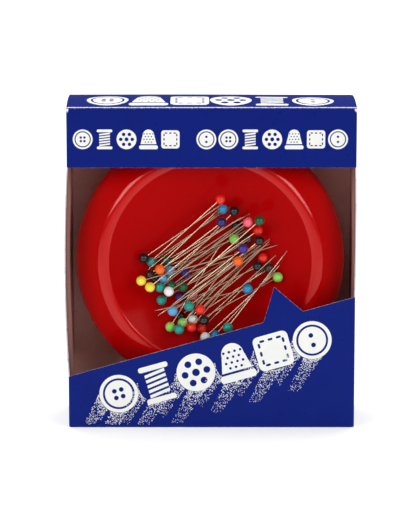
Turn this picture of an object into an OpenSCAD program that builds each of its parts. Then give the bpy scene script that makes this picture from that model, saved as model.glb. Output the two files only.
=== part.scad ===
// Magnetic pin cushion with its ball-head pins, in an open-front window carton.
// Millimetres. +Z is up, the window faces -Y, and the origin is the middle of the carton's base.

/* [Carton] */
// Width of the carton, across the window
carton_w = 114; // [113:1:130]
// Depth of the carton, front to back
carton_d = 38; // [38:1:50]
// Height of the carton
carton_h = 129; // [127:1:145]
// Thickness of the carton board
board_t = 0.5; // [0.4:0.05:0.6]
// Height of the band across the front, above the window
header_h = 24; // [20:1:28]
// Height of the lower front panel at its left edge
slope_left_h = 20.8; // [18:0.2:24]
// Height of the lower front panel at its right edge
slope_right_h = 53.2; // [46:0.2:54]
// Height of the peak that stands on the sloping edge
peak_h = 57.2; // [55:0.2:60]
// Length of the tab that tucks behind the back panel
tuck_l = 14; // [10:0.5:16]
// Length of the dust flaps under each lid
dust_flap_l = 24; // [18:1:28]

/* [Cushion] */
// Diameter of the cushion at its widest
cushion_d = 108; // [100:1:108]
// Height of the cushion, from its feet to the rim of its dish
cushion_h = 30; // [28:0.5:30]
// Diameter of the cushion at its base
cushion_base_d = 92; // [88:1:94]
// Depth of the dish that holds the pins
dish_depth = 9.5; // [9:0.5:10]
// Thickness of the moulded shell
shell_t = 2.2; // [1.8:0.1:2.4]
// Diameter of the rim's crest, round the dish
rim_crest_d = 86.6; // [84:0.2:88]
// Radius of the roll at the rim's crest
rim_r = 4; // [3.5:0.1:4.5]
// Radius of the turn at the cushion's widest place
waist_r = 5; // [4.5:0.1:5.5]
// Height of the cushion's widest place above its feet
waist_h = 19.5; // [18:0.5:20]

/* [Magnet] */
// Outer diameter of the ring magnet
magnet_d = 60; // [50:1:64]
// Diameter of the hole through the ring magnet
magnet_bore_d = 24; // [20:1:28]
// Thickness of the ring magnet
magnet_t = 8; // [6:0.5:8]

/* [Pins] */
// Diameter of a pin's ball head
head_d = 4; // [3.6:0.1:4]
// Diameter of a pin's wire
wire_d = 0.5; // [0.5:0.05:0.6]
// Distance from the middle of a pin's head to its point
pin_reach = 38.5; // [36:0.5:38.5]
// Gap left between pins that lie across each other
pin_gap = 0.12; // [0.1:0.01:0.12]

/* [Hidden] */
$fn = 64;
// The window carton: flat places, and the gap between boards that slide past each other.
front_y = -carton_d / 2;
back_y = carton_d / 2;
side_x = carton_w / 2;
fold_gap = 0.1;
lid_inset = 0.1;
flap_top_z = carton_h - board_t - fold_gap;
flap_bottom_z = board_t + fold_gap;
lid_l = carton_d - 2 * board_t - 0.6;
glue_flap_w = 9;
glue_flap_taper = 3;
glue_flap_end = 6;
tuck_corner_r = 5;
tuck_inset = 2.5;
flap_start = 3;
flap_slope = 0.56;
flap_end = carton_d - board_t - 4;
flap_corner_r = 3;
slope_rise = (slope_right_h - slope_left_h) / carton_w;
peak_left_x = 20.7;
peak_x = 24.8;
peak_right_x = 36.3;

// The cushion's section: radius first, then height above its feet.
cushion_x = -0.5;
cushion_z = carton_h / 2 + 1;
feet_t = 1.2;
foot_d = 10;
foot_count = 4;
foot_ring_r = 34;
shell_foot_h = 1;
rim_x = rim_crest_d / 2;
rim_h = cushion_h - rim_r;
dish_h = cushion_h - dish_depth;
rim_drop = rim_h - dish_h;
dish_r = (rim_x * rim_x + rim_drop * rim_drop - rim_r * rim_r) / (2 * (rim_r + rim_drop));
dish_angle = atan2(rim_x, dish_r - rim_drop);
// The flank runs straight from the crest's roll to the turn at the waist, touching both.
waist_x = cushion_d / 2 - waist_r;
flank_run = norm([waist_x - rim_x, waist_h - rim_h]);
flank_angle = atan2(waist_h - rim_h, waist_x - rim_x) + acos((rim_r - waist_r) / flank_run);
skirt_in = (cushion_d - cushion_base_d) / 2;
skirt_drop = waist_h - shell_foot_h;
skirt_r = (skirt_in * skirt_in + skirt_drop * skirt_drop) / (2 * skirt_in);
skirt_x = cushion_d / 2 - skirt_r;
skirt_angle = asin(skirt_drop / skirt_r);
cover_t = 2;
cover_z = feet_t + 0.3;
cover_r = skirt_x + sqrt(pow(skirt_r - shell_t, 2) - pow(waist_h - cover_z, 2)) - 0.1;
post_r = 26;
post_t = 2;
plate_t = 1;
magnet_z = 10;
post_h = magnet_z - plate_t - cover_z - cover_t;
foam_od = 40;
foam_top = dish_h - shell_t + pow(magnet_bore_d / 2, 2) / (2 * (dish_r + shell_t)) - 0.05;

// The pins, listed as they were laid down, the lowest first. Each has the place of its head across
// and up the carton, the way its wire points, turned from +X towards +Z, and the colour of its head.
PINS = [
    [-20, 49.5, 31, "teal"], [10, 79.5, 215, "black"], [20.5, 66.5, 220, "red"],
    [-7.5, 51, 37, "pink"], [14.5, 74, 213, "brown"], [-22.5, 58.5, 26, "black"],
    [-4, 38, 44, "red"], [23, 62.5, 214, "brown"], [-24, 65, 35, "teal"],
    [-18, 65.5, 30, "dark_green"], [18.5, 78, 216, "red"], [-12.5, 43, 39, "black"],
    [26.5, 59, 209, "lime"], [4.5, 86.5, 219, "blue"], [-7.5, 42, 46, "white"],
    [-10.5, 60.5, 17, "purple"], [1.5, 35.5, 48, "blue"], [18.5, 63.5, 207, "black"],
    [-19, 58.5, 30, "sky_blue"], [14.5, 54.5, 194, "blue"], [-11.5, 41, 46, "lime"],
    [-16, 56, 38, "dark_green"], [9, 74.5, 203, "lime"], [-20.5, 55.5, 38, "teal"],
    [-12.5, 50.5, 35, "purple"], [-16.5, 39, 59, "lime"], [-8, 39.5, 49, "red"],
    [-2.5, 35, 43, "white"], [-16.5, 62, 34, "sky_blue"], [9, 86, 226, "black"],
    [4, 82, 219, "navy"], [6.5, 39.5, 52, "teal"], [-11.5, 55.5, 26, "dark_green"],
    [-13, 39, 53, "teal"], [-24.5, 60.5, 44, "brown"], [19, 74.5, 220, "black"],
    [-4.5, 47, 44, "red"], [-17, 54.5, 32, "white"], [12.5, 71.5, 220, "purple"],
    [-27, 67, 35, "black"], [-15.5, 46.5, 36, "sky_blue"], [-28, 58.5, 16, "yellow"],
    [-24.5, 56, 40, "yellow"], [-3, 42.5, 42, "black"], [3.5, 91.5, 223, "red"],
    [14.5, 82, 215, "pink"], [-20.5, 63.5, 33, "orange"], [-9, 48.5, 38, "teal"],
    [19, 83, 222, "dark_green"], [10.5, 66.5, 214, "orange"],
];
// The pins that lie on top of the pile, with nothing over them, are separate bodies.
loose_count = 8;
pile_count = len(PINS) - loose_count;
HEAD_COLOURS = [
    ["red", [0.88, 0.18, 0.12]], ["orange", [0.96, 0.37, 0.06]], ["yellow", [0.9, 0.84, 0.27]],
    ["lime", [0.53, 0.78, 0.33]], ["dark_green", [0.08, 0.33, 0.2]], ["teal", [0.08, 0.51, 0.47]],
    ["blue", [0.16, 0.49, 0.67]], ["sky_blue", [0.33, 0.59, 0.76]], ["navy", [0.13, 0.11, 0.45]],
    ["purple", [0.24, 0.12, 0.45]], ["black", [0.12, 0.11, 0.12]], ["brown", [0.2, 0.1, 0.09]],
    ["white", [0.88, 0.89, 0.88]], ["pink", [0.94, 0.37, 0.43]],
];
PILE_COLOURS = [for (c = HEAD_COLOURS) if (pile_has(c[0])) c[0]];
LOOSE = [for (k = [1:loose_count]) k];

head_r = head_d / 2;
wire_r = wire_d / 2;
wire_seat = 0.8;
point_l = 3;
point_r = 0.08;
end_margin = 0.02;

printed_blue = [0.06, 0.13, 0.47];
bare_board = [0.42, 0.3, 0.27];
dish_red = [0.66, 0.01, 0.02];
steel = [0.75, 0.73, 0.7];

function pile_has(name) = len([for (i = [0:pile_count - 1]) if (PINS[i][3] == name) i]) > 0;
function colour_named(name) = [for (c = HEAD_COLOURS) if (c[0] == name) c[1]][0];

// Points along an arc about [x, y], from one angle to another, for the outlines below.
function arc(x, y, r, from, to, steps) =
    [for (k = [0:steps]) let (a = from + (to - from) * k / steps) [x + r * cos(a), y + r * sin(a)]];

// How the pins lie. A pin is a straight line seen from the front, and each of its ends has a height
// above the middle of the dish. A pin rests on the dish, and on every pin under it that it crosses.
function head_at(i) = [PINS[i][0], PINS[i][1]];
function point_at(i) = head_at(i) + pin_reach * [cos(PINS[i][2]), sin(PINS[i][2])];
function along(a, b, t) = a + t * (b - a);
function nearest_t(q, a, b) = min(1, max(0, ((q - a) * (b - a)) / ((b - a) * (b - a))));
function apart(q, a, b) = norm(q - along(a, b, nearest_t(q, a, b)));
function cross_2d(a, b) = a[0] * b[1] - a[1] * b[0];
function highest(heights, floor) = max(concat([floor], heights));
function dish_rise(q) =
    let (r = norm(q - [cushion_x, cushion_z])) dish_r - sqrt(dish_r * dish_r - r * r);
function head_rest(i) = dish_rise(head_at(i)) + 1.03 * head_r + 0.03;
function point_rest(i) = dish_rise(point_at(i)) + wire_r + 0.05;
// Height by which a round thing clears another whose middle is a distance away, seen from the front.
function step_up(reach, distance) = sqrt(reach * reach - distance * distance);

// Where pin i touches pin j that lies under it: [place along i, place along j, height between them].
function head_on_head(i, j) =
    let (d = norm(head_at(i) - head_at(j)), reach = head_d + pin_gap)
    d < reach ? [[0, 0, step_up(reach, d)]] : [];
function head_on_wire(i, j) =
    let (d = apart(head_at(i), head_at(j), point_at(j)), reach = head_r + wire_r + pin_gap)
    d < reach ? [[0, nearest_t(head_at(i), head_at(j), point_at(j)), step_up(reach, d)]] : [];
function wire_on_head(i, j) =
    let (d = apart(head_at(j), head_at(i), point_at(i)), reach = head_r + wire_r + pin_gap)
    d < reach ? [[nearest_t(head_at(j), head_at(i), point_at(i)), 0, step_up(reach, d)]] : [];
function wire_on_wire(i, j) =
    let (a = head_at(i), b = point_at(i), c = head_at(j), d = point_at(j),
         turn = cross_2d(b - a, d - c),
         t = cross_2d(c - a, d - c) / turn,
         u = cross_2d(c - a, b - a) / turn)
    abs(t - 0.5) <= 0.5 + end_margin && abs(u - 0.5) <= 0.5 + end_margin
        ? wires_cross(PINS[i][2] - PINS[j][2], t, u)
        : wires_pass(a, b, c, d);
// Wires that cross at a small angle stay close over a length, so its ends are held clear too.
function wires_cross(angle, t, u) =
    [for (side = [-1, 0, 1])
        let (reach = min(1, 0.5 / (pin_reach * abs(sin(angle)))),
             t_side = min(1, max(0, t + side * reach)))
        [t_side, min(1, max(0, u + sign(cos(angle)) * (t_side - t))), wire_d + pin_gap]];
function wires_pass(a, b, c, d) = concat(
    apart(a, c, d) < wire_d + pin_gap ? [[0, nearest_t(a, c, d), wire_d + pin_gap]] : [],
    apart(b, c, d) < wire_d + pin_gap ? [[1, nearest_t(b, c, d), wire_d + pin_gap]] : [],
    apart(c, a, b) < wire_d + pin_gap ? [[nearest_t(c, a, b), 0, wire_d + pin_gap]] : [],
    apart(d, a, b) < wire_d + pin_gap ? [[nearest_t(d, a, b), 1, wire_d + pin_gap]] : []);
function touches(i, j) =
    concat(head_on_head(i, j), head_on_wire(i, j), wire_on_head(i, j), wire_on_wire(i, j));

// Heights of a pin's two ends over those already laid: its head end is lifted first, then its point.
function lay_pin(i, laid) =
    let (held = [for (j = [0:1:i - 1]) for (c = touches(i, j))
                    [c[0], along(laid[j][0], laid[j][1], c[1]) + c[2]]],
         head_floor = head_rest(i),
         point_floor = point_rest(i),
         head_first = highest([for (c = held) if (c[0] < 0.5)
                                  (c[1] - c[0] * point_floor) / (1 - c[0])], head_floor),
         point_end = highest([for (c = held) if (c[0] >= 0.5)
                                 (c[1] - (1 - c[0]) * head_first) / c[0]], point_floor),
         head_last = highest([for (c = held) if (c[0] < 0.999)
                                 (c[1] - c[0] * point_end) / (1 - c[0])], head_floor))
    [min(head_first, head_last), point_end];
function lay_pile(i, laid) =
    i == len(PINS) ? laid : lay_pile(i + 1, concat(laid, [lay_pin(i, laid)]));
PILE = lay_pile(0, []);

function pile_y(height) = back_y - board_t - dish_h - height;
function head_point(i) = [head_at(i)[0], pile_y(PILE[i][0]), head_at(i)[1]];
function wire_point(i) = [point_at(i)[0], pile_y(PILE[i][1]), point_at(i)[1]];

// Turns a shape that stands on +Z so that it runs along a pin, from its head to its point.
module along_pin(i) {
    run = wire_point(i) - head_point(i);
    translate(head_point(i))
        rotate([0, acos(run[2] / norm(run)), atan2(run[1], run[0])])
            children();
}

module pin_wire(i) {
    reach = norm(wire_point(i) - head_point(i));
    color(steel) along_pin(i) {
        translate([0, 0, -wire_seat]) cylinder(r = wire_r, h = reach - point_l + wire_seat);
        translate([0, 0, reach - point_l]) cylinder(r1 = wire_r, r2 = point_r, h = point_l);
    }
}

module pin_head(i) {
    color(colour_named(PINS[i][3])) along_pin(i) difference() {
        sphere(r = head_r);
        translate([0, 0, -wire_seat]) cylinder(r = wire_r, h = head_d);
    }
}

module pile_pin_wires() {
    for (i = [0:pile_count - 1]) pin_wire(i);
}

module pile_heads(name) {
    for (i = [0:pile_count - 1]) if (PINS[i][3] == name) pin_head(i);
}

// A flat board in the plane of the front, from its outline across and up the carton.
module upright_board(y) {
    translate([0, y + board_t, 0]) rotate([90, 0, 0]) linear_extrude(board_t) children();
}

module front_header_panel() {
    color(printed_blue) translate([-side_x, front_y, carton_h - header_h])
        cube([carton_w, board_t, header_h]);
}

function slope_z(x) = slope_left_h + slope_rise * (x + side_x);

module front_lower_panel() {
    color(printed_blue) upright_board(front_y) polygon([
        [-side_x, 0], [side_x, 0], [side_x, slope_right_h],
        [peak_right_x, slope_z(peak_right_x)], [peak_x, peak_h], [peak_left_x, slope_z(peak_left_x)],
        [-side_x, slope_left_h],
    ]);
}

module side_panel(left_x) {
    color(printed_blue) translate([left_x, front_y + board_t, flap_bottom_z])
        cube([board_t, carton_d - 2 * board_t, flap_top_z - flap_bottom_z]);
}

module left_panel() {
    side_panel(-side_x);
}

module right_panel() {
    side_panel(side_x - board_t);
}

module back_panel() {
    color(printed_blue) translate([-side_x, back_y - board_t, 0]) cube([carton_w, board_t, carton_h]);
}

// The strip on the left panel's back edge that is glued inside the back panel.
module glue_flap() {
    inner_x = -side_x + board_t;
    low_z = flap_bottom_z + glue_flap_end;
    high_z = flap_top_z - glue_flap_end;
    color(bare_board) upright_board(back_y - 2 * board_t) polygon([
        [inner_x, low_z], [inner_x + glue_flap_w, low_z + glue_flap_taper],
        [inner_x + glue_flap_w, high_z - glue_flap_taper], [inner_x, high_z],
    ]);
}

// A lid lies flat on its hinge line, which is its outer front edge, and its tab curves down about
// that line, so the tab clears the back panel as the lid opens.
module lid() {
    tab_angle = tuck_l / lid_l * 180 / PI;
    translate([-side_x + lid_inset, 0, -board_t])
        cube([carton_w - 2 * lid_inset, lid_l, board_t]);
    intersection() {
        rotate([0, 90, 0])
            translate([0, 0, -side_x])
                rotate_extrude_band(lid_l - board_t, lid_l, tab_angle, carton_w);
        tab_outline();
    }
}

// A curved strip about the X axis that starts level with a lid and turns downwards.
module rotate_extrude_band(inner_r, outer_r, angle, width) {
    linear_extrude(width) polygon(concat(
        arc(0, 0, outer_r, 90, 90 - angle, 16),
        arc(0, 0, inner_r, 90 - angle, 90, 16)));
}

// The tab's outline from behind: narrower than the lid, with round lower corners.
module tab_outline() {
    half_w = side_x - tuck_inset;
    translate([0, lid_l + 1, 0]) rotate([90, 0, 0]) linear_extrude(lid_l / 2) polygon(concat(
        [[half_w, -board_t], [-half_w, -board_t]],
        arc(-half_w + tuck_corner_r, -tuck_l + tuck_corner_r, tuck_corner_r, 180, 270, 8),
        arc(half_w - tuck_corner_r, -tuck_l + tuck_corner_r, tuck_corner_r, 270, 360, 8)));
}

module top_lid() {
    color(printed_blue) translate([0, front_y + board_t, carton_h]) lid();
}

module bottom_lid() {
    color(printed_blue) translate([0, front_y + board_t, 0]) mirror([0, 0, 1]) lid();
}

// A dust flap that hangs on a side panel. Its front edge slants back, so it clears the lid's
// underside while both of them open.
module dust_flap() {
    end_r = flap_corner_r;
    front_end = flap_start + flap_slope * dust_flap_l;
    color(bare_board) translate([-side_x + board_t, front_y, -board_t])
        linear_extrude(board_t) polygon(concat(
            [[0, flap_start], [dust_flap_l, front_end]],
            arc(dust_flap_l - end_r, flap_end - end_r, end_r, 0, 90, 8),
            [[0, flap_end]]));
}

module top_dust_flap_left() {
    translate([0, 0, flap_top_z]) dust_flap();
}

module top_dust_flap_right() {
    mirror([1, 0, 0]) top_dust_flap_left();
}

module bottom_dust_flap_left() {
    translate([0, 0, flap_bottom_z]) mirror([0, 0, 1]) dust_flap();
}

module bottom_dust_flap_right() {
    mirror([1, 0, 0]) bottom_dust_flap_left();
}

// Stands a piece of the cushion on the inside of the back panel, with its dish towards the window.
module on_back_panel() {
    translate([cushion_x, back_y - board_t, cushion_z]) rotate([90, 0, 0]) children();
}

// One face of the shell's section: the dish from its middle, the crest, the flank, the waist and
// the skirt down to its foot.
function shell_line(inset) = concat(
    arc(0, dish_h + dish_r, dish_r + inset, 270, 270 + dish_angle, 20),
    arc(rim_x, rim_h, rim_r - inset, 90 + dish_angle, flank_angle, 12),
    arc(waist_x, waist_h, waist_r - inset, flank_angle, 0, 8),
    arc(skirt_x, waist_h, skirt_r - inset, -1, -skirt_angle, 14));

module dish_shell() {
    outer = shell_line(0);
    inner = shell_line(shell_t);
    color(dish_red) on_back_panel() rotate_extrude($fn = 128)
        polygon(concat(outer, [for (k = [len(inner) - 1:-1:0]) inner[k]]));
}

// The plate that closes the cushion underneath, with the ring wall that carries the magnet.
module base_cover() {
    color(dish_red) on_back_panel() translate([0, 0, cover_z]) {
        cylinder(r = cover_r, h = cover_t, $fn = 128);
        difference() {
            cylinder(r = post_r, h = cover_t + post_h);
            translate([0, 0, cover_t]) cylinder(r = post_r - post_t, h = post_h + 1);
        }
    }
}

module ring_magnet() {
    color([0.2, 0.2, 0.21]) on_back_panel() translate([0, 0, magnet_z]) difference() {
        cylinder(d = magnet_d, h = magnet_t);
        translate([0, 0, -1]) cylinder(d = magnet_bore_d, h = magnet_t + 2);
    }
}

module backing_plate() {
    color(steel) on_back_panel() translate([0, 0, magnet_z - plate_t])
        cylinder(d = magnet_d, h = plate_t);
}

module foam_ring() {
    low_z = magnet_z + magnet_t;
    color([0.85, 0.82, 0.74]) on_back_panel() translate([0, 0, low_z]) difference() {
        cylinder(d = foam_od, h = foam_top - low_z);
        translate([0, 0, -1]) cylinder(d = magnet_bore_d, h = foam_top - low_z + 2);
    }
}

module rubber_feet() {
    color([0.1, 0.1, 0.1]) on_back_panel() for (k = [0:foot_count - 1])
        rotate([0, 0, 45 + 360 / foot_count * k]) translate([foot_ring_r, 0, 0])
            cylinder(d = foot_d, h = cover_z);
}

front_header_panel();
front_lower_panel();
left_panel();
right_panel();
back_panel();
glue_flap();
top_lid();
top_dust_flap_left();
top_dust_flap_right();
bottom_lid();
bottom_dust_flap_left();
bottom_dust_flap_right();
dish_shell();
base_cover();
ring_magnet();
backing_plate();
foam_ring();
rubber_feet();
pile_pin_wires();
for (c = PILE_COLOURS) pile_heads(c);
for (k = LOOSE) pin_wire(pile_count + k - 1);
for (k = LOOSE) pin_head(pile_count + k - 1);
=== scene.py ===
"""Looks for a boxed magnetic pin cushion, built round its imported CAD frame.

Metres, +Z up, the carton's window faces -Y and the origin is the middle of its base.
"""

import math
import random

import bmesh
import bpy
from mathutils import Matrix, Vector, noise


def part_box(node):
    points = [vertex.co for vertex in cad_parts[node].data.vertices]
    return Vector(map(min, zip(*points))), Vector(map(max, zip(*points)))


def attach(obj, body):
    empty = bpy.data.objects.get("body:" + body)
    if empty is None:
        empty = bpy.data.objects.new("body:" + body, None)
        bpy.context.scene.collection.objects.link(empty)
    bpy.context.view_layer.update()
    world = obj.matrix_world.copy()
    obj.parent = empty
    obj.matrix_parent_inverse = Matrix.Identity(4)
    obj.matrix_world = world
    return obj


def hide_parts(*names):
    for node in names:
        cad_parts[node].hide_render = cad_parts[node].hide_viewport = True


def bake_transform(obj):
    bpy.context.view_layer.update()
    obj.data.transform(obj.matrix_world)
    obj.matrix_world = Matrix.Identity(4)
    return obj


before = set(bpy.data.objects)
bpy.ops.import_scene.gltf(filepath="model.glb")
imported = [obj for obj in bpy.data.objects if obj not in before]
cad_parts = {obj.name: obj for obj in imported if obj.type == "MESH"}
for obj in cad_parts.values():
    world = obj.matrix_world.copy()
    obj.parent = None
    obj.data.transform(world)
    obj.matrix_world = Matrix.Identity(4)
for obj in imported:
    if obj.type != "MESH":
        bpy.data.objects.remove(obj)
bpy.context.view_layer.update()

MM = 0.001
CARTON_BODY = "carton_and_cushion"
HALF_TURN = math.pi
QUARTER_TURN = math.pi / 2

# The carton's places, read off its CAD boards.
header_low, header_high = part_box("front_header_panel")
back_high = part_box("back_panel")[1]
side_low, side_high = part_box("left_panel")
glue_low, glue_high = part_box("glue_flap")
lid_low, lid_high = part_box("top_lid")
BOARD = header_high.y - header_low.y
HALF_W = header_high.x
FRONT_Y = header_low.y
BACK_Y = back_high.y
TOP_Z = header_high.z
WINDOW_TOP = header_low.z
HINGE_Y = FRONT_Y + BOARD

# How the board is bent and how finely it is meshed.
FOLD_R = 0.8 * MM
FOLD_STEPS = 6
CREASE_R = 0.6 * MM
EDGE_BAND = 0.35 * MM
LEFT_BOW = 1.3 * MM
RIGHT_BOW = 0.25 * MM
FRONT_BOW = 0.35 * MM
LID_CROWN = 2.0 * MM
SHARP_ANGLE = math.radians(40)

# How far the print is worn away, from 0 to a little over 1 where the board shows white.
CUT_WEAR = 0.86
FOLD_WEAR = 0.62
WINDOW_FOLD_WEAR = 1.1
CORNER_WEAR = 1.2
LID_EDGE_WEAR = 0.75
CREASE_WEAR = 1.05


# ---------------------------------------------------------------- materials

def srgb(red, green, blue):
    """Linear colour from the 0 to 255 values of a screen colour."""
    def linear(value):
        share = value / 255
        return share / 12.92 if share <= 0.04045 else ((share + 0.055) / 1.055) ** 2.4
    return linear(red), linear(green), linear(blue)


class Shader:
    """A material's node tree, with short calls that add its nodes."""

    def __init__(self, name, colour, roughness, **sockets):
        self.material = bpy.data.materials.new(name)
        self.material.use_nodes = True
        self.nodes = self.material.node_tree.nodes
        self.links = self.material.node_tree.links
        self.bsdf = self.nodes["Principled BSDF"]
        self.bsdf.inputs["Base Color"].default_value = (*colour, 1)
        self.bsdf.inputs["Roughness"].default_value = roughness
        for socket, value in sockets.items():
            self.bsdf.inputs[socket.replace("_", " ")].default_value = value
        self.place = self.nodes.new("ShaderNodeTexCoord").outputs["Object"]

    def feed(self, socket, value):
        if isinstance(value, bpy.types.NodeSocket):
            self.links.new(value, socket)
        elif isinstance(value, tuple):
            socket.default_value = (*value, 1)
        else:
            socket.default_value = value

    def noise(self, size, detail=3.0, roughness=0.5, stretch=(1, 1, 1)):
        """Noise whose lumps are about size metres across, from 0 to 1."""
        place = self.place
        if stretch != (1, 1, 1):
            mapping = self.nodes.new("ShaderNodeMapping")
            mapping.inputs["Scale"].default_value = stretch
            self.links.new(place, mapping.inputs["Vector"])
            place = mapping.outputs["Vector"]
        node = self.nodes.new("ShaderNodeTexNoise")
        node.inputs["Scale"].default_value = 1 / size
        node.inputs["Detail"].default_value = detail
        node.inputs["Roughness"].default_value = roughness
        self.links.new(place, node.inputs["Vector"])
        return node.outputs["Fac"]

    def cells(self, size):
        node = self.nodes.new("ShaderNodeTexVoronoi")
        node.inputs["Scale"].default_value = 1 / size
        self.links.new(self.place, node.inputs["Vector"])
        return node.outputs["Distance"]

    def math(self, operation, first, second=0.0):
        node = self.nodes.new("ShaderNodeMath")
        node.operation = operation
        self.feed(node.inputs[0], first)
        self.feed(node.inputs[1], second)
        return node.outputs[0]

    def span(self, value, low, high, to_low=0.0, to_high=1.0):
        """value stretched so that low to high becomes to_low to to_high, held inside them."""
        node = self.nodes.new("ShaderNodeMapRange")
        self.links.new(value, node.inputs["Value"])
        ends = {"From Min": low, "From Max": high, "To Min": to_low, "To Max": to_high}
        for socket, number in ends.items():
            node.inputs[socket].default_value = number
        return node.outputs["Result"]

    def mix(self, share, first, second):
        node = self.nodes.new("ShaderNodeMix")
        node.data_type = "RGBA"
        self.feed(node.inputs[0], share)
        self.feed(node.inputs[6], first)
        self.feed(node.inputs[7], second)
        return node.outputs[2]

    def attribute(self, name):
        node = self.nodes.new("ShaderNodeAttribute")
        node.attribute_name = name
        return node.outputs["Fac"]

    def colour(self, value):
        self.links.new(value, self.bsdf.inputs["Base Color"])

    def roughness(self, value):
        self.links.new(value, self.bsdf.inputs["Roughness"])

    def bump(self, *layers):
        """Bump from pairs of (height, depth in metres), one on another."""
        normal = None
        for height, depth in layers:
            node = self.nodes.new("ShaderNodeBump")
            node.inputs["Strength"].default_value = 1.0
            node.inputs["Distance"].default_value = depth
            self.links.new(height, node.inputs["Height"])
            if normal is not None:
                self.links.new(normal, node.inputs["Normal"])
            normal = node.outputs["Normal"]
        self.links.new(normal, self.bsdf.inputs["Normal"])


PRINT_BLUE = srgb(5, 27, 113)
WORN_WHITE = srgb(226, 226, 234)
# The first board tone, used inside the sleeve, is lighter and pinker than the lid board's tone: painted
# bounce light from the red dish on the same board.
CHIPBOARD_RED_BOUNCE = srgb(226, 172, 162)
LID_BOARD_TONE = srgb(208, 190, 174)
INK_WHITE = srgb(236, 238, 232)
# The rim, flank and skirt share the bowl's moulded plastic, but their red is set lighter than the bowl's:
# painted light on the flank.
BOWL_RED = srgb(165, 3, 5)
FLANK_RED_PAINTED_LIGHT = srgb(184, 3, 5)
PIN_SILVER = srgb(204, 180, 154)


def printed_board():
    """Varnished blue print on white-lined board, cracked white where it is creased or cut."""
    shader = Shader("printed_board", PRINT_BLUE, 0.42, Specular_IOR_Level=0.09)
    mottle = shader.noise(14 * MM, 4, 0.6)
    grain = shader.noise(0.25 * MM, 3, 0.6)
    ink = shader.mix(mottle, tuple(c * 0.86 for c in PRINT_BLUE), tuple(c * 1.14 for c in PRINT_BLUE))
    ink = shader.mix(shader.span(grain, 0.62, 0.8, 0, 0.25), ink, tuple(c * 1.7 for c in PRINT_BLUE))
    worn = shader.math("ADD", shader.attribute("wear"), shader.noise(0.9 * MM, 4, 0.7))
    worn = shader.span(worn, 1.28, 1.5)
    shader.colour(shader.mix(worn, ink, WORN_WHITE))
    shader.roughness(shader.span(shader.math("ADD", worn, shader.noise(3 * MM)), 0.3, 1.4, 0.27, 0.72))
    shader.bump((shader.noise(40 * MM, 2), 0.25 * MM), (grain, 0.006 * MM))
    return shader.material


def bare_board(name, tone):
    """Grey-brown recycled chipboard, with fibres and dark and pale specks, and a dark red-brown painted
    shade where its shade attribute is set.
    """
    shader = Shader(name, tone, 0.85, Specular_IOR_Level=0.2)
    fibre = shader.noise(0.5 * MM, 6, 0.7, (1, 1, 0.25))
    cloud = shader.noise(9 * MM, 4, 0.6)
    painted_shade = shader.math("MULTIPLY", shader.attribute("painted_shade"), shader.span(cloud, 0.2, 0.8, 0.8, 1))
    pulp = shader.mix(fibre, tuple(c * 0.74 for c in tone), tuple(c * 1.22 for c in tone))
    pulp = shader.mix(shader.span(cloud, 0.3, 0.7, 0, 0.5), pulp, tuple(c * 0.78 for c in tone))
    specks = shader.span(shader.noise(0.7 * MM, 2, 0.5), 0.68, 0.74)
    pulp = shader.mix(specks, pulp, tuple(c * 0.45 for c in tone))
    pale = shader.span(shader.noise(1.1 * MM, 2, 0.5), 0.7, 0.76, 0, 0.6)
    pulp = shader.mix(pale, pulp, srgb(214, 202, 190))
    # painted shade: the board is pulled towards a dark red-brown where the shade attribute asks
    shader.colour(shader.mix(painted_shade, pulp, srgb(66, 38, 38)))
    shader.bump((fibre, 0.03 * MM))
    return shader.material


def cut_edge():
    """The cut side of the board: pale layers with smears of blue ink."""
    tone = srgb(205, 200, 205)
    shader = Shader("cut_edge", tone, 0.8, Specular_IOR_Level=0.2)
    smear = shader.span(shader.noise(2.5 * MM, 4, 0.7), 0.55, 0.72, 0, 0.75)
    layers = shader.noise(0.15 * MM, 2)
    pulp = shader.mix(layers, tuple(c * 0.75 for c in tone), tone)
    shader.colour(shader.mix(smear, pulp, srgb(70, 84, 160)))
    shader.bump((layers, 0.02 * MM))
    return shader.material


def flap_liner():
    """The white-coated side of a dust flap, with the print's blue bleeding over its fold."""
    tone = srgb(222, 220, 214)
    shader = Shader("flap_liner", tone, 0.6, Specular_IOR_Level=0.3)
    waver = shader.span(shader.noise(2 * MM), 0, 1, -0.08, 0.08)
    ragged = shader.math("ADD", shader.attribute("bleed"), waver)
    paper = shader.mix(shader.noise(0.6 * MM, 5, 0.7), tuple(c * 0.9 for c in tone), tone)
    shader.colour(shader.mix(shader.span(ragged, 0.48, 0.52), paper, PRINT_BLUE))
    shader.bump((shader.noise(0.3 * MM, 3), 0.008 * MM))
    return shader.material


def white_ink():
    """White print, with pinholes where the ink did not cover."""
    shader = Shader("white_ink", INK_WHITE, 0.5, Specular_IOR_Level=0.25)
    tint = shader.noise(5 * MM, 3)
    ink = shader.mix(tint, srgb(226, 230, 226), srgb(240, 238, 234))
    pinholes = shader.span(shader.noise(0.35 * MM, 2, 0.5), 0.74, 0.78, 0, 0.5)
    shader.colour(shader.mix(pinholes, ink, srgb(150, 158, 205)))
    shader.bump((shader.noise(0.3 * MM, 3), 0.005 * MM))
    return shader.material


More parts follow.
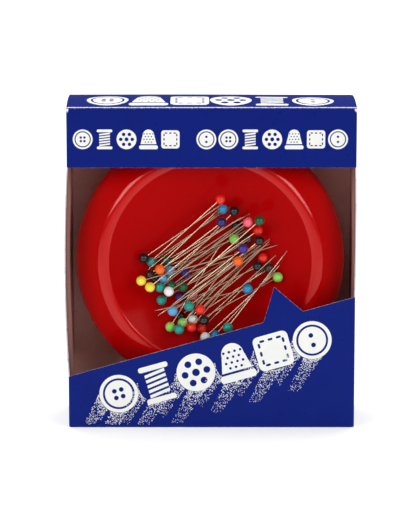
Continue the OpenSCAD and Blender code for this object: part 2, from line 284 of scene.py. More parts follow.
def red_plastic(name, tone, gloss):
    """Moulded styrene: a slight ripple, fine rubbed scratches and a little depth in its colour."""
    shader = Shader(name, tone, 0.12, IOR=1.5, Specular_IOR_Level=gloss,
                    Specular_Tint=(1.0, 0.48, 0.44, 1.0))
    flow = shader.noise(26 * MM, 3, 0.5)
    red = shader.mix(flow, tuple(c * 0.93 for c in tone), tuple(c * 1.07 for c in tone))
    lint = shader.span(shader.noise(0.6 * MM, 2, 0.4), 0.8, 0.83, 0, 0.5)
    shader.colour(shader.mix(lint, red, srgb(226, 150, 130)))
    rubbed = shader.noise(1.2 * MM, 5, 0.75, (1, 1, 0.12))
    shader.roughness(shader.span(rubbed, 0.35, 0.8, 0.09, 0.2))
    shader.bump((shader.noise(18 * MM, 2), 0.05 * MM), (shader.noise(1.5 * MM, 3), 0.0012 * MM))
    return shader.material


def ferrite():
    tone = srgb(58, 58, 60)
    shader = Shader("ferrite", tone, 0.55)
    grain = shader.noise(0.4 * MM, 6, 0.75)
    shader.colour(shader.mix(grain, tuple(c * 0.6 for c in tone), tuple(c * 1.4 for c in tone)))
    shader.bump((grain, 0.03 * MM))
    return shader.material


def metal(name, tone, roughness, streak):
    """Drawn or rolled steel: streaks along Z and a few duller spots."""
    shader = Shader(name, tone, roughness, Metallic=1.0)
    streaks = shader.noise(0.4 * MM, 4, 0.6, streak)
    shader.colour(shader.mix(streaks, tuple(c * 0.82 for c in tone), tone))
    shader.roughness(shader.span(streaks, 0.2, 0.8, roughness * 0.75, roughness * 1.3))
    shader.bump((streaks, 0.002 * MM))
    return shader.material


def foam():
    tone = srgb(214, 206, 186)
    shader = Shader("foam", tone, 0.95)
    pores = shader.cells(0.7 * MM)
    # the pores' centres are darkened: painted shade in the pores
    shader.colour(shader.mix(pores, tuple(c * 0.55 for c in tone), tone))
    shader.bump((pores, 0.25 * MM))
    return shader.material


def rubber():
    tone = srgb(34, 34, 35)
    shader = Shader("rubber", tone, 0.75)
    dust = shader.noise(2 * MM, 5, 0.7)
    shader.colour(shader.mix(shader.span(dust, 0.5, 0.8, 0, 0.4), tone, srgb(110, 108, 104)))
    shader.bump((shader.noise(0.3 * MM, 3), 0.02 * MM))
    return shader.material


HEAD_COLOURS = {
    "red": (232, 34, 20), "orange": (252, 100, 8), "yellow": (236, 220, 66), "lime": (142, 214, 90),
    "dark_green": (14, 84, 46), "teal": (18, 146, 132), "blue": (34, 138, 190),
    "sky_blue": (88, 164, 212), "navy": (30, 34, 96), "purple": (62, 38, 134), "black": (24, 22, 24),
    "brown": (60, 30, 26), "white": (232, 234, 232), "pink": (250, 98, 118),
}


def head_plastic(name):
    """Tumbled bead plastic, with faint swirls of pigment and a slightly uneven gloss."""
    tone = srgb(*HEAD_COLOURS[name])
    shader = Shader("head_" + name, tone, 0.09, IOR=1.5)
    swirl = shader.noise(1.6 * MM, 3, 0.6)
    shader.colour(shader.mix(swirl, tuple(c * 0.86 for c in tone), tuple(min(1, c * 1.1) for c in tone)))
    shader.roughness(shader.span(shader.noise(0.8 * MM), 0.3, 0.7, 0.05, 0.14))
    shader.bump((shader.noise(1.2 * MM, 2), 0.01 * MM))
    return shader.material


BLUE_PRINT = printed_board()
# inside the sleeve: the board with its painted red bounce light
SLEEVE_BOARD_RED_BOUNCE = bare_board("bare_board", CHIPBOARD_RED_BOUNCE)
LID_BOARD = bare_board("lid_board", LID_BOARD_TONE)
CUT_EDGE = cut_edge()
FLAP_LINER = flap_liner()
WHITE_INK = white_ink()
RED_PLASTIC_PAINTED_LIGHT = red_plastic("red_plastic", FLANK_RED_PAINTED_LIGHT, 0.62)
SCUFFED_RED = red_plastic("scuffed_red_plastic", BOWL_RED, 0.05)
PIN_STEEL = metal("pin_steel", PIN_SILVER, 0.15, (1, 1, 1))


# ---------------------------------------------------------------- meshes

def finish_mesh(name, points, faces, slots, materials):
    """A piece from its points and faces, shaded smooth except across its sharp edges."""
    mesh = bpy.data.meshes.new(name)
    mesh.from_pydata([tuple(p) for p in points], [], faces)
    for material in materials:
        mesh.materials.append(material)
    mesh.polygons.foreach_set("material_index", slots)
    mesh.polygons.foreach_set("use_smooth", [True] * len(faces))
    mesh.update()
    mesh.set_sharp_from_angle(angle=SHARP_ANGLE)
    piece = bpy.data.objects.new(name, mesh)
    bpy.context.scene.collection.objects.link(piece)
    return piece


def give_values(piece, name, values):
    piece.data.attributes.new(name, "FLOAT", "POINT").data.foreach_set("value", values)


def everywhere(column, row):
    return True


def board_piece(name, outer, inner, there, materials, values, attribute="wear"):
    """A closed board between two grids of points, outer and inner, each [column][row].

    there(column, row) says where a cell of board is; missing cells leave a cut rim round them.
    values, on the same grid, are given to the points as an attribute.
    """
    columns, rows = len(outer) - 1, len(outer[0]) - 1
    index, points, point_values = {}, [], []

    def is_there(i, j):
        return 0 <= i < columns and 0 <= j < rows and there(i, j)

    def vertex(grid, side, i, j):
        key = (side, i, j)
        if key not in index:
            index[key] = len(points)
            points.append(grid[i][j])
            point_values.append(values[i][j])
        return index[key]

    faces, slots = [], []
    for i in range(columns):
        for j in range(rows):
            if not is_there(i, j):
                continue
            ring = [(i, j), (i + 1, j), (i + 1, j + 1), (i, j + 1)]
            faces.append([vertex(outer, 0, *corner) for corner in ring])
            faces.append([vertex(inner, 1, *corner) for corner in reversed(ring)])
            slots += [0, 1]
            for k, (across, up) in enumerate([(0, -1), (1, 0), (0, 1), (-1, 0)]):
                if is_there(i + across, j + up):
                    continue
                a, b = ring[k], ring[(k + 1) % 4]
                faces.append([vertex(outer, 0, *b), vertex(outer, 0, *a),
                              vertex(inner, 1, *a), vertex(inner, 1, *b)])
                slots.append(2)
    piece = finish_mesh(name, points, faces, slots, materials)
    give_values(piece, attribute, point_values)
    return piece


def spaced(start, end, step, extra=()):
    """Places from start to end about a step apart, with some extra ones and one just inside each end."""
    count = max(2, round(abs(end - start) / step))
    way = 1 if end > start else -1
    places = [start + (end - start) * k / count for k in range(1, count)]
    places += [start + way * EDGE_BAND, end - way * EDGE_BAND, *extra]
    inside = [p for p in places if EDGE_BAND * 0.9 < abs(p - start) and EDGE_BAND * 0.9 < abs(p - end)]
    kept = [start]
    for place in sorted(inside, key=lambda p: abs(p - start)):
        if place in extra or abs(place - kept[-1]) > 0.2 * MM:
            kept.append(place)
    return kept + [end]


def between(low, high, share):
    return low + (high - low) * share


# ---------------------------------------------------------------- the carton's sleeve

def upper_outline(node):
    """Points (x, z) along the top edge of an upright CAD board, from left to right."""
    tops = {}
    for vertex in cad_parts[node].data.vertices:
        x = round(vertex.co.x, 6)
        tops[x] = max(tops.get(x, 0.0), vertex.co.z)
    return sorted(tops.items())


SLOPE = upper_outline("front_lower_panel")


def slope_z(x):
    """Height of the lower front panel's top edge at x."""
    for (x0, z0), (x1, z1) in zip(SLOPE, SLOPE[1:]):
        if x <= x1:
            return between(z0, z1, max(0.0, (x - x0) / (x1 - x0)))
    return SLOPE[-1][1]


def front_bow(x, z):
    """How far the front stands proud at a place: most at its free edges, none at its folds."""
    across = math.cos(HALF_TURN * x / (2 * HALF_W))
    if z >= WINDOW_TOP:
        free = (TOP_Z - z) / (TOP_Z - WINDOW_TOP)
    else:
        free = min(1.0, z / slope_z(x))
    return FRONT_BOW * across * free


def side_bow(amount, y, z, slope):
    """How far a side wall stands out, most at the middle of its free edge by the window."""
    share = (z - slope) / (WINDOW_TOP - slope)
    if not 0 < share < 1:
        return 0.0
    inward = (y - FRONT_Y) / (BACK_Y - FRONT_Y)
    return amount * math.sin(HALF_TURN * share) ** 0.8 * max(0.0, 1 - inward) ** 1.5


def sleeve_columns():
    """Columns round the sleeve from the glue flap's end to the back panel's: place, outward way, wall."""
    columns = []
    glue_y = glue_high.y

    def wall(name, start, end, turn, step, extra=()):
        start, end = Vector(start), Vector(end)
        length = (end - start).length
        for d in spaced(0.0, length, step, extra):
            place = start.lerp(end, d / length)
            columns.append((place, Vector((math.cos(turn), math.sin(turn))), name))

    def fold(centre, turn, before, after):
        for k in range(1, FOLD_STEPS):
            share = k / FOLD_STEPS
            way = Vector((math.cos(turn + QUARTER_TURN * share), math.sin(turn + QUARTER_TURN * share)))
            columns.append((Vector(centre) + FOLD_R * way, way, (before, after, share)))

    near = HALF_W - FOLD_R
    wall("glue", (glue_high.x, glue_y), (-near, glue_y), QUARTER_TURN, 3 * MM)
    fold((-near, glue_y - FOLD_R), QUARTER_TURN, "glue", "left")
    wall("left", (-HALF_W, glue_y - FOLD_R), (-HALF_W, FRONT_Y + FOLD_R), 2 * QUARTER_TURN, 2 * MM)
    fold((-near, FRONT_Y + FOLD_R), 2 * QUARTER_TURN, "left", "front")
    corners = [x + near for x, z in SLOPE[1:-1]]
    wall("front", (-near, FRONT_Y), (near, FRONT_Y), 3 * QUARTER_TURN, 1 * MM, corners)
    fold((near, FRONT_Y + FOLD_R), 3 * QUARTER_TURN, "front", "right")
    wall("right", (HALF_W, FRONT_Y + FOLD_R), (HALF_W, BACK_Y - FOLD_R), 4 * QUARTER_TURN, 2 * MM)
    fold((near, BACK_Y - FOLD_R), 4 * QUARTER_TURN, "right", "back")
    wall("back", (near, BACK_Y), (-HALF_W, BACK_Y), 5 * QUARTER_TURN, 3 * MM)
    return columns


def painted_wall_shade(place):
    """How strongly the side walls' inner faces are darkened as painted shade: most beside the window."""
    at_side = abs(place.x) > HALF_W - 2 * BOARD - LEFT_BOW and place.z < WINDOW_TOP + 3 * MM
    return 0.9 * max(0.0, 1 - (place.y - FRONT_Y) / (20 * MM)) if at_side else 0.0


def make_sleeve():
    """Front, sides, back and glue flap as one folded board with its window cut out."""
    lower_rows, window_rows, header_rows = 24, 26, 12
    first_cut, second_cut = lower_rows, lower_rows + window_rows
    left_slope, right_slope = SLOPE[0][1], SLOPE[-1][1]
    ends = {
        "glue": (glue_low.z, glue_high.z), "left": (side_low.z, side_high.z),
        "front": (0.0, TOP_Z - CREASE_R), "right": (side_low.z, side_high.z), "back": (0.0, TOP_Z),
    }

    def wall_levels(name, x):
        low, high = ends[name]
        slope = {"front": slope_z(x), "right": right_slope,
                 "back": between(left_slope, right_slope, (x + HALF_W) / (2 * HALF_W))}.get(name, left_slope)
        return low, slope, WINDOW_TOP, high

    def band(low, high, count):
        inner = [between(low + EDGE_BAND, high - EDGE_BAND, k / (count - 2)) for k in range(count - 1)]
        return [low, *inner, high]

    columns = sleeve_columns()
    outer, inner, wear, at_front = [], [], [], []
    for place, way, wall in columns:
        if isinstance(wall, str):
            levels = wall_levels(wall, place.x)
        else:
            before, after, share = wall
            pair = zip(wall_levels(before, place.x), wall_levels(after, place.x))
            levels = [between(a, b, share) for a, b in pair]
        heights = (band(levels[0], levels[1], lower_rows)[:-1]
                   + band(levels[1], levels[2], window_rows)[:-1]
                   + band(levels[2], levels[3], header_rows))
        in_fold = not isinstance(wall, str)
        touches_front = wall == "front" or (in_fold and "front" in wall)
        at_front.append(touches_front)
        outer_column, inner_column, wear_column = [], [], []
        for j, z in enumerate(heights):
            bow = 0.0
            if wall == "front":
                bow = front_bow(place.x, z)
            elif wall == "left":
                bow = side_bow(LEFT_BOW, place.y, z, left_slope)
            elif wall == "right":
                bow = side_bow(RIGHT_BOW, place.y, z, right_slope)
            cut = j in (0, len(heights) - 1) or (touches_front and j in (first_cut, second_cut))
            ragged = 0.07 * MM * noise.noise(Vector((place.x, place.y, 0)) / (0.9 * MM)) if cut else 0.0
            if j in (0, len(heights) - 1):
                ragged = 0.0
            outward = Vector((way.x, way.y, 0))
            point = Vector((place.x, place.y, z + ragged)) + bow * outward
            outer_column.append(point)
            inner_column.append(point - BOARD * outward)
            beside_window = first_cut <= j <= second_cut and abs(place.y - FRONT_Y) < FOLD_R + EDGE_BAND / 2
            value = CUT_WEAR if cut or (beside_window and wall in ("left", "right")) else 0.0
            if in_fold:
                by_window = touches_front and first_cut <= j <= second_cut
                most = WINDOW_FOLD_WEAR if by_window else FOLD_WEAR
                value = max(value, most * math.sin(HALF_TURN * wall[2]))
            if touches_front and abs(place.x) > HALF_W - 1.1 * MM and z > TOP_Z - 2.6 * MM:
                value = CORNER_WEAR
            wear_column.append(value)
        outer.append(outer_column)
        inner.append(inner_column)
        wear.append(wear_column)

    def there(i, j):
        return not (at_front[i] or at_front[i + 1]) or not first_cut <= j < second_cut

    sleeve = board_piece("carton_sleeve", outer, inner, there, [BLUE_PRINT, SLEEVE_BOARD_RED_BOUNCE, CUT_EDGE], wear)
    # painted shade on the inner faces of the side walls beside the window
    give_values(sleeve, "painted_shade", [painted_wall_shade(v.co) for v in sleeve.data.vertices])
    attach(sleeve, CARTON_BODY)
    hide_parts("front_header_panel", "front_lower_panel", "left_panel", "right_panel",
                "back_panel", "glue_flap")


# ---------------------------------------------------------------- lids and flaps

LID_REACH = lid_high.y - HINGE_Y
TAB_DROP = TOP_Z - lid_low.z
TAB_HALF_W = HALF_W - 2.5 * MM
TAB_CORNER_R = 5 * MM


def lid_rise(x, y, crown):
    """How far the middle of a lid is pushed out at a place."""
    share = (y - HINGE_Y) / LID_REACH
    along = 0.8 + 0.2 * math.cos(HALF_TURN * x / (2 * HALF_W)) - 0.28 * (x + HALF_W) / (2 * HALF_W)
    return crown * along * max(0.0, 1 - (2 * share - 1) ** 2) ** 0.9


def lid_path():
    """The lid's outer face from its crease to its tab's end: (y, z below the top, half width)."""
    half_w = lid_high.x
    flat_end = HINGE_Y + LID_REACH - FOLD_R
    path = [(y, 0.0, half_w) for y in spaced(FRONT_Y + CREASE_R, flat_end, 1.2 * MM)]
    for k in range(1, FOLD_STEPS + 1):
        turn = QUARTER_TURN * k / FOLD_STEPS
        width = half_w if k < 2 else TAB_HALF_W
        path.append((flat_end + FOLD_R * math.sin(turn), FOLD_R * (1 - math.cos(turn)), width))
    tab_angle = math.asin(TAB_DROP / LID_REACH)
    start = math.asin(FOLD_R / LID_REACH)
    steps = 16
    for k in range(1, steps + 1):
        turn = between(start, tab_angle, k / steps)
        drop = LID_REACH * math.sin(turn)
        beyond = max(0.0, drop - (TAB_DROP - TAB_CORNER_R))
        narrowing = TAB_CORNER_R - math.sqrt(max(0.0, TAB_CORNER_R ** 2 - beyond ** 2))
        path.append((HINGE_Y + LID_REACH * math.cos(turn), drop, TAB_HALF_W - narrowing))
    return path


def make_lid(name, top):
    """A lid with its tuck tab; the top one is pushed up a little by what is inside."""
    path = lid_path()
    crown = LID_CROWN if top else 0.0
    spots = spaced(-HALF_W, HALF_W, 2.4 * MM)
    if not top:
        spots = spots[::-1]
    outer, inner, wear = [], [], []
    for spot in spots:
        share = spot / HALF_W
        points = []
        for y, drop, half_w in path:
            height = lid_rise(spot, y, crown) - drop
            points.append(Vector((share * half_w, y, TOP_Z + height if top else -height)))
        inner_points = []
        for j, point in enumerate(points):
            before, after = points[max(0, j - 1)], points[min(len(points) - 1, j + 1)]
            run = Vector((0, after.y - before.y, after.z - before.z)).normalized()
            outward = Vector((0, -run.z, run.y)) if top else Vector((0, run.z, -run.y))
            inner_points.append(point - BOARD * outward)
        outer.append(points)
        inner.append(inner_points)
        at_side = abs(spot) > HALF_W - 0.1 * MM
        ends = (0, len(path) - 1)
        wear.append([LID_EDGE_WEAR if at_side or j in ends else 0.0 for j in range(len(path))])
    piece = board_piece(name + "_board", outer, inner, everywhere, [BLUE_PRINT, LID_BOARD, CUT_EDGE], wear)
    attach(piece, name)
    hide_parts(name)


def make_dust_flap(name, top, side):
    """A dust flap: white outside with the print's bleed at its fold, chipboard inside."""
    low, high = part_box(name)
    length = high.x - low.x
    bend = CREASE_R + 0.1 * MM
    corner = 3 * MM
    strips = 16
    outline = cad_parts[name].data.vertices
    hinge_x = side * (HALF_W - BOARD)
    front_at_hinge = min(v.co.y for v in outline if abs(v.co.x - hinge_x) < 0.1 * MM)
    front_at_end = min(v.co.y for v in outline if abs(v.co.x - hinge_x) > length - 0.1 * MM)
    outer, inner, bleed = [], [], []
    face_z, way = (high.z, 1) if top else (low.z, -1)
    reaches = spaced(bend, length, 1.2 * MM)
    if side * way > 0:
        reaches = reaches[::-1]
    for reach in reaches:
        share = reach / length
        beyond = max(0.0, reach - (length - corner))
        cut = corner - math.sqrt(max(0.0, corner ** 2 - beyond ** 2))
        front = between(front_at_hinge, front_at_end, share) + 0.5 * cut
        back = high.y - cut
        z = face_z - way * 0.15 * MM * math.sin(HALF_TURN * share)
        column = [Vector((hinge_x - side * reach, between(front, back, k / strips), z))
                  for k in range(strips + 1)]
        outer.append(column)
        inner.append([p - Vector((0, 0, way * BOARD)) for p in column])
        bleed.append([between(1.0, 0.0, min(1.0, reach / (8 * MM)))] * (strips + 1))
    piece = board_piece(name + "_board", outer, inner, everywhere,
                        [FLAP_LINER, LID_BOARD, CUT_EDGE], bleed, "bleed")
    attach(piece, name)
    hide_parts(name)


def make_lid_crease(lid, top):
    """The bent strip of board that joins the front to a lid, worn white along its crest."""
    way = 1 if top else -1
    face_z = TOP_Z if top else 0.0
    centre = Vector((0, FRONT_Y + CREASE_R, face_z - way * CREASE_R))
    steps = 8
    outer, inner, wear = [], [], []
    spots = spaced(-lid_high.x, lid_high.x, 1.5 * MM)
    if not top:
        spots = spots[::-1]
    for x in spots:
        outer_column, inner_column, wear_column = [], [], []
        for k in range(steps + 1):
            turn = QUARTER_TURN * k / steps
            outward = Vector((0, -math.cos(turn), way * math.sin(turn)))
            outer_column.append(centre + CREASE_R * outward + Vector((x, 0, 0)))
            inner_column.append(centre + (CREASE_R - BOARD) * outward + Vector((x, 0, 0)))
            wear_column.append(CREASE_WEAR * math.sin(HALF_TURN * k / steps))
        outer.append(outer_column)
        inner.append(inner_column)
        wear.append(wear_column)
    piece = board_piece(lid + "_crease", outer, inner, everywhere, [BLUE_PRINT, LID_BOARD, CUT_EDGE], wear)
    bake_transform(piece)


# ---------------------------------------------------------------- the cushion

shell_low, shell_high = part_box("dish_shell")
AXIS_X = (shell_low.x + shell_high.x) / 2
AXIS_Z = (shell_low.z + shell_high.z) / 2
FEET_Y = BACK_Y - BOARD
CUSHION_R = (shell_high.x - shell_low.x) / 2
CUSHION_H = FEET_Y - shell_low.y
FOOT_H = FEET_Y - shell_high.y


def arc_points(x, y, radius, start, end, steps):
    turns = [math.radians(between(start, end, k / steps)) for k in range(steps + 1)]
    return [(x + radius * math.cos(t), y + radius * math.sin(t)) for t in turns]


SHELL_T = 2.2 * MM
DISH_DEPTH = 9.5 * MM
BOWL_STEPS = 48


def shell_line(inset):
    """One face of the dish shell's section, as (radius, height above the feet)."""
    crest_r, waist_r, waist_h = 5 * MM, 5 * MM, 19.5 * MM
    bowl_r, bowl_edge, bowl_h = 99.4 * MM, 40.4 * MM, CUSHION_H - DISH_DEPTH
    base_r = 46 * MM
    bowl_turn = math.asin(bowl_edge / bowl_r)
    bowl_angle = math.degrees(bowl_turn)
    crest_x = (bowl_r + crest_r) * math.sin(bowl_turn)
    crest_h = bowl_h + bowl_r - (bowl_r + crest_r) * math.cos(bowl_turn)
    waist_x = CUSHION_R - waist_r
    flank_run = math.hypot(waist_x - crest_x, waist_h - crest_h)
    flank_angle = math.degrees(math.atan2(waist_h - crest_h, waist_x - crest_x)
                               + math.acos((crest_r - waist_r) / flank_run))
    skirt_in, skirt_drop = CUSHION_R - base_r, waist_h - FOOT_H
    skirt_r = (skirt_in ** 2 + skirt_drop ** 2) / (2 * skirt_in)
    skirt_angle = math.degrees(math.asin(skirt_drop / skirt_r))
    return (arc_points(0, bowl_h + bowl_r, bowl_r + inset, 270, 270 + bowl_angle, BOWL_STEPS)
            + arc_points(crest_x, crest_h, crest_r - inset, 90 + bowl_angle, flank_angle, 28)[1:]
            + arc_points(waist_x, waist_h, waist_r - inset, flank_angle, 0, 16)
            + arc_points(CUSHION_R - skirt_r, waist_h, skirt_r - inset, -1, -skirt_angle, 24))


def lathe(name, profile, segments, materials, bowl_points):
    """A closed solid turned about the cushion's axis; its first points are the scuffed bowl."""
    points, rings = [], []
    for radius, height in profile:
        if radius < 1e-7:
            rings.append([len(points)] * segments)
            points.append((AXIS_X, FEET_Y - height, AXIS_Z))
            continue
        rings.append([len(points) + k for k in range(segments)])
        for k in range(segments):
            turn = 2 * HALF_TURN * k / segments
            across, up = radius * math.cos(turn), radius * math.sin(turn)
            points.append((AXIS_X + across, FEET_Y - height, AXIS_Z + up))
    faces, slots = [], []
    for n, (ring, following) in enumerate(zip(rings, rings[1:])):
        for k in range(segments):
            after = (k + 1) % segments
            corners = [ring[k], following[k], following[after], ring[after]]
            face = [c for m, c in enumerate(corners) if c not in corners[:m]]
            if len(face) > 2:
                faces.append(face)
                slots.append(1 if n < bowl_points else 0)
    return finish_mesh(name, points, faces, slots, materials)


def make_cushion():
    outer, inner = shell_line(0.0), shell_line(SHELL_T)
    outer[0] = (0.0, outer[0][1])
    inner[0] = (0.0, inner[0][1])
    profile = outer + inner[::-1]
    # the rim, flank and skirt take the red lifted as painted light; the bowl keeps the plain red
    shell = lathe("moulded_dish", profile, 288, [RED_PLASTIC_PAINTED_LIGHT, SCUFFED_RED], BOWL_STEPS)
    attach(shell, CARTON_BODY)
    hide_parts("dish_shell")


# ---------------------------------------------------------------- CAD nodes that stay

def finish_cad_nodes():
    """Gives each carried-over CAD node, and every pin, its material."""
    finishes = {
        "base_cover": RED_PLASTIC_PAINTED_LIGHT,
        "ring_magnet": ferrite(),
        "backing_plate": metal("plated_steel", srgb(190, 190, 186), 0.3, (1, 1, 0.1)),
        "foam_ring": foam(),
        "rubber_feet": rubber(),
    }
    heads = {name: head_plastic(name) for name in HEAD_COLOURS}
    for name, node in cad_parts.items():
        if node.hide_render:
            continue
        if name in finishes:
            material = finishes[name]
        elif name.endswith("wire") or name.endswith("wires"):
            material = PIN_STEEL
        else:
            slot = node.data.materials[0].name.split(".")[0]
            material = heads[slot.replace("head_", "")]
        for slot in node.material_slots:
            slot.material = material


# ---------------------------------------------------------------- the print

def ring_loop(x, z, radius, sides):
    turns = [2 * HALF_TURN * k / sides for k in range(sides)]
    return [(x + radius * math.cos(t), z + radius * math.sin(t)) for t in turns]


def round_box(x, z, width, height, corner, steps=4):
    """A rectangle with round corners, about its middle."""
    loop = []
    for k, (sx, sz) in enumerate([(1, 1), (-1, 1), (-1, -1), (1, -1)]):
        for s in range(steps + 1):
            turn = QUARTER_TURN * (k + s / steps)
            loop.append((x + sx * (width / 2 - corner) + corner * math.cos(turn),
                         z + sz * (height / 2 - corner) + corner * math.sin(turn)))
    return loop


def button_icon(holes):
    """A sewn button, one unit across: a rim, a face and its thread holes."""
    loops = [ring_loop(0, 0, 0.5, 40), ring_loop(0, 0, 0.41, 36), ring_loop(0, 0, 0.355, 36)]
    for k in range(holes):
        turn = 2 * HALF_TURN * (k + 0.5) / holes
        loops.append(ring_loop(0.13 * math.cos(turn), 0.13 * math.sin(turn), 0.062, 14))
    return loops


def spool_icon():
    """A thread spool: two flanges and slanted turns of thread."""
    loops = [round_box(0, 0.43, 0.78, 0.14, 0.06), round_box(0, -0.43, 0.78, 0.14, 0.06)]
    turns = 5
    for k in range(turns):
        z = 0.27 - 0.54 * k / (turns - 1)
        loops.append([(-0.27, z - 0.075), (0.27, z - 0.005), (0.27, z + 0.075), (-0.27, z + 0.005)])
    return loops


def thimble_icon():
    """A thimble: a domed cap with dimples over a rolled band."""
    cap = [(0.4, -0.24), (0.29, 0.2)]
    dome = [HALF_TURN * k / 16 for k in range(1, 16)]
    cap += [(0.29 * math.cos(t), 0.2 + 0.3 * math.sin(t)) for t in dome]
    cap += [(-0.29, 0.2), (-0.4, -0.24)]
    loops = [cap, round_box(0, -0.4, 0.94, 0.2, 0.08)]
    for row in range(4):
        count = 3 if row % 2 else 4
        for k in range(count):
            loops.append(ring_loop((k - (count - 1) / 2) * 0.15, 0.28 - 0.14 * row, 0.036, 8))
    return loops


def bobbin_icon():
    """A bobbin seen from its end: a disc with round windows about its bore."""
    loops = [ring_loop(0, 0, 0.5, 40), ring_loop(0, 0, 0.1, 16)]
    for k in range(6):
        turn = 2 * HALF_TURN * k / 6
        loops.append(ring_loop(0.29 * math.cos(turn), 0.29 * math.sin(turn), 0.09, 14))
    return loops


def patch_icon():
    """A square patch with a line of stitches inside its edge."""
    loops = [round_box(0, 0, 0.92, 0.92, 0.14)]
    for k in range(4):
        for s in (-0.22, 0.0, 0.22):
            x, z = s, 0.32
            wide, tall = 0.13, 0.06
            for _ in range(k):
                x, z, wide, tall = -z, x, tall, wide
            loops.append(round_box(x, z, wide, tall, 0.025, 2))
    return loops


def on_front(x, z):
    """The point of the bowed front face at a place."""
    return Vector((x, FRONT_Y - front_bow(x, z), z))


def on_lid(x, y):
    """The point of the crowned top lid at a place."""
    return Vector((x, y, TOP_Z + lid_rise(x, y, LID_CROWN)))


INK_T = 0.03 * MM


def print_shapes(name, shapes, surface, outward, body):
    """Flat shapes of ink laid on a surface; each shape is a list of loops, the later ones its holes."""
    curve = bpy.data.curves.new(name, "CURVE")
    curve.dimensions = "2D"
    curve.fill_mode = "BOTH"
    curve.extrude = INK_T / 2
    for loops in shapes:
        for loop in loops:
            spline = curve.splines.new("POLY")
            spline.points.add(len(loop) - 1)
            for point, (x, z) in zip(spline.points, loop):
                point.co = (x, z, 0, 1)
            spline.use_cyclic_u = True
    holder = bpy.data.objects.new(name + "_curve", curve)
    bpy.context.scene.collection.objects.link(holder)
    bpy.context.view_layer.update()
    flat = bpy.data.meshes.new_from_object(holder.evaluated_get(bpy.context.evaluated_depsgraph_get()))
    bpy.data.objects.remove(holder)
    bpy.data.curves.remove(curve)
    bm = bmesh.new()
    bm.from_mesh(flat)
    bpy.data.meshes.remove(flat)
    bmesh.ops.remove_doubles(bm, verts=bm.verts, dist=0.001 * MM)
    low = min(v.co.y for v in bm.verts)
    high = max(v.co.y for v in bm.verts)
    step = 2.5 * MM
    for k in range(1, int((high - low) / step) + 1):
        bmesh.ops.bisect_plane(bm, geom=bm.verts[:] + bm.edges[:] + bm.faces[:],
                               plane_co=(0, low + k * step, 0), plane_no=(0, 1, 0))
    for vertex in bm.verts:
        x, z, depth = vertex.co
        vertex.co = surface(x, z) + outward * (depth + INK_T / 2 + 0.004 * MM)
    bmesh.ops.recalc_face_normals(bm, faces=bm.faces[:])
    mesh = bpy.data.meshes.new(name)
    bm.to_mesh(mesh)
    bm.free()
    mesh.materials.append(WHITE_INK)
    piece = bpy.data.objects.new(name, mesh)
    bpy.context.scene.collection.objects.link(piece)
    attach(piece, body)


def placed(loops, x, z, size, turn=0.0):
    c, s = math.cos(turn) * size, math.sin(turn) * size
    return [[(x + c * u - s * v, z + s * u + c * v) for u, v in loop] for loop in loops]


def header_icons():
    """Two groups of small sewing notions in a line across the header."""
    icons = [button_icon(4), spool_icon(), bobbin_icon(), thimble_icon(), patch_icon(), button_icon(2)]
    size, pitch, gap = 7.8 * MM, 8.6 * MM, 5.5 * MM
    middle_z = between(WINDOW_TOP, TOP_Z, 0.47)
    count = 12
    width = (count - 1) * pitch + gap
    shapes = []
    for k in range(count):
        x = -width / 2 + k * pitch + (gap if k >= count // 2 - 1 else 0) - 0.5 * MM
        shapes.append(placed(icons[k % len(icons)], x, middle_z, size))
    return shapes


def slope_turn():
    return math.atan2(SLOPE[-1][1] - SLOPE[0][1], 2 * HALF_W)


BAND_ICONS = 6
BAND_SIZE = 15.5 * MM
TRAIL_TURN = math.radians(240)
STREAM_DOTS = 330
STREAM_LENGTH = 15 * MM


def band_places():
    """Where the big notions stand along the lower panel's slope."""
    turn = slope_turn()
    places = []
    for k in range(BAND_ICONS):
        x = between(-37 * MM, 40 * MM, k / (BAND_ICONS - 1))
        z = between(SLOPE[0][1], SLOPE[-1][1], (x + HALF_W) / (2 * HALF_W)) - 12.2 * MM / math.cos(turn)
        places.append((x, z))
    return places


def band_icons():
    icons = [button_icon(4), spool_icon(), bobbin_icon(), thimble_icon(), patch_icon(), button_icon(2)]
    turn = slope_turn()
    return [placed(icons[k % len(icons)], x, z, BAND_SIZE, turn) for k, (x, z) in enumerate(band_places())]


def fade_dots(chance):
    """Places and sizes of the dots in the two streams that run down from each big notion."""
    way = Vector((math.cos(TRAIL_TURN), math.sin(TRAIL_TURN)))
    across = Vector((-way.y, way.x))
    for x, z in band_places():
        for stream in (-0.24, 0.25):
            for _ in range(STREAM_DOTS):
                reach = chance.random() ** 1.8
                drift = (chance.random() - 0.5) * between(0.4, 0.26, reach)
                lane = (stream + drift) * BAND_SIZE
                edge = math.sqrt(max(0.0, (BAND_SIZE * 0.5) ** 2 - lane ** 2))
                spot = Vector((x, z)) + across * lane + way * (edge + 0.3 * MM + reach * STREAM_LENGTH)
                radius = between(0.09, 0.2, chance.random()) * MM * between(1.15, 0.7, reach)
                if spot.y > 1.2 * MM and abs(spot.x) < HALF_W - 2 * MM:
                    yield spot, radius


def make_dot_fade():
    """Streams of printed dots that run down from the big notions and thin out."""
    chance = random.Random(11)
    sides = 5
    points, faces = [], []
    for spot, radius in fade_dots(chance):
        spin = chance.random() * HALF_TURN
        first = len(points)
        for level in (0.004 * MM, INK_T):
            for k in range(sides):
                turn = spin + 2 * HALF_TURN * k / sides
                wobble = radius * between(0.75, 1.25, chance.random())
                px, pz = spot.x + wobble * math.cos(turn), spot.y + wobble * math.sin(turn)
                points.append(on_front(px, pz) - Vector((0, level, 0)))
        lower = [first + k for k in range(sides)]
        upper = [first + sides + k for k in range(sides)]
        faces.append(upper)
        faces.append(lower[::-1])
        for k in range(sides):
            after = (k + 1) % sides
            faces.append([lower[k], lower[after], upper[after], upper[k]])
    piece = finish_mesh("printed_dot_fade", points, faces, [0] * len(faces), [WHITE_INK])
    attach(piece, CARTON_BODY)


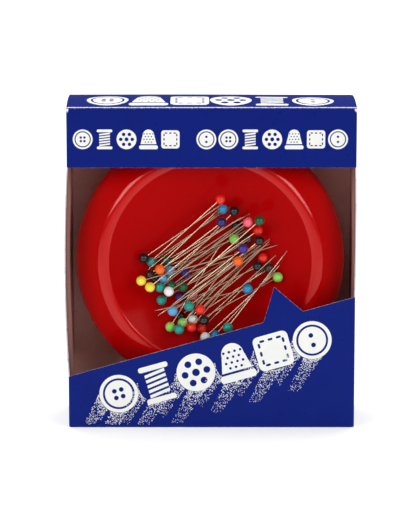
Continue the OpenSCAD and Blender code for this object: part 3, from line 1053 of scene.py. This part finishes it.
def lid_icons():
    icons = [button_icon(4), thimble_icon(), patch_icon(), bobbin_icon(), spool_icon(), button_icon(2)]
    size = 16.5 * MM
    shapes = []
    for k, icon in enumerate(icons):
        x = between(-41 * MM, 40 * MM, k / (len(icons) - 1))
        shapes.append(placed(icon, x, HINGE_Y + 1.8 * MM + size / 2, size))
    return shapes


def make_print():
    out = Vector((0, -1, 0))
    print_shapes("printed_header_notions", header_icons(), on_front, out, CARTON_BODY)
    print_shapes("printed_band_notions", band_icons(), on_front, out, CARTON_BODY)
    print_shapes("printed_lid_notions", lid_icons(), on_lid, Vector((0, 0, 1)), "top_lid")
    make_dot_fade()


# ---------------------------------------------------------------- studio

def softbox(name, place, aim, size, radiance):
    """A rectangular light whose face has a given radiance."""
    light = bpy.data.lights.new(name, "AREA")
    light.shape = "RECTANGLE"
    light.size, light.size_y = size
    light.energy = radiance * HALF_TURN * size[0] * size[1]
    lamp = bpy.data.objects.new(name, light)
    lamp.location = place
    lamp.rotation_euler = (Vector(aim) - Vector(place)).to_track_quat("-Z", "Y").to_euler()
    bpy.context.scene.collection.objects.link(lamp)


def make_studio():
    middle = Vector((0, 0, TOP_Z / 2))
    softbox("left_softbox", (-0.71, -0.86, 0.484), middle, (0.46, 0.46), 6.3)
    softbox("right_softbox", (0.71, -0.86, 0.484), middle, (0.46, 0.46), 6.3)
    softbox("front_fill", (0, -1.35, 0.85), middle, (1.5, 0.9), 0.65)
    softbox("overhead", (0, 0.3, 1.35), middle, (1.2, 1.0), 6.0)
    world = bpy.data.worlds.new("studio")
    world.use_nodes = True
    background = world.node_tree.nodes["Background"]
    background.inputs["Color"].default_value = (1, 1, 1, 1)
    background.inputs["Strength"].default_value = 0.14
    bpy.context.scene.world = world


def floor_paint():
    """Pale matt paint that glows a little behind the carton and far in front of it."""
    shader = Shader("floor_paint", (0.66, 0.66, 0.66), 0.9, Specular_IOR_Level=0.0)
    split = shader.nodes.new("ShaderNodeSeparateXYZ")
    shader.links.new(shader.place, split.inputs[0])
    depth = split.outputs["Y"]
    paper = shader.noise(0.4 * MM, 3)
    shader.colour(shader.mix(paper, (0.64, 0.64, 0.64), (0.68, 0.68, 0.68)))
    shader.bsdf.inputs["Emission Color"].default_value = (1, 1, 1, 1)
    near, behind = shader.span(depth, -0.45, -0.15, 0, 0.42), shader.span(depth, 0.2, 1.2, 0, 0.6)
    far_front = shader.span(depth, -2.2, -0.6, 0.75, 0)
    glow = shader.math("ADD", shader.math("ADD", near, behind), far_front)
    shader.feed(shader.bsdf.inputs["Emission Strength"], glow)
    return shader.material


def make_floor():
    half = 3.0
    mesh = bpy.data.meshes.new("floor")
    corners = [(-half, -half, 0), (half, -half, 0), (half, half, 0), (-half, half, 0)]
    mesh.from_pydata(corners, [], [[0, 1, 2, 3]])
    mesh.materials.append(floor_paint())
    floor = bpy.data.objects.new("floor", mesh)
    floor.location.z = -0.05 * MM
    bpy.context.scene.collection.objects.link(floor)


def make_camera():
    lens = bpy.data.cameras.new("camera")
    lens.lens = 189.9
    lens.sensor_width = 36
    lens.clip_start = 0.02
    camera = bpy.data.objects.new("camera", lens)
    camera.location = (-0.002, -1.086, 0.2728)
    camera.rotation_euler = (math.radians(90 - 10.87), 0, 0)
    bpy.context.scene.collection.objects.link(camera)
    bpy.context.scene.camera = camera


make_camera()
make_sleeve()
for lid_name, is_top in (("top_lid", True), ("bottom_lid", False)):
    make_lid(lid_name, is_top)
    make_lid_crease(lid_name, is_top)
for flap_name, is_top, flap_side in (
        ("top_dust_flap_left", True, -1), ("top_dust_flap_right", True, 1),
        ("bottom_dust_flap_left", False, -1), ("bottom_dust_flap_right", False, 1)):
    make_dust_flap(flap_name, is_top, flap_side)
make_cushion()
finish_cad_nodes()
make_print()
make_studio()
make_floor()
bpy.context.scene.view_settings.view_transform = "Standard"
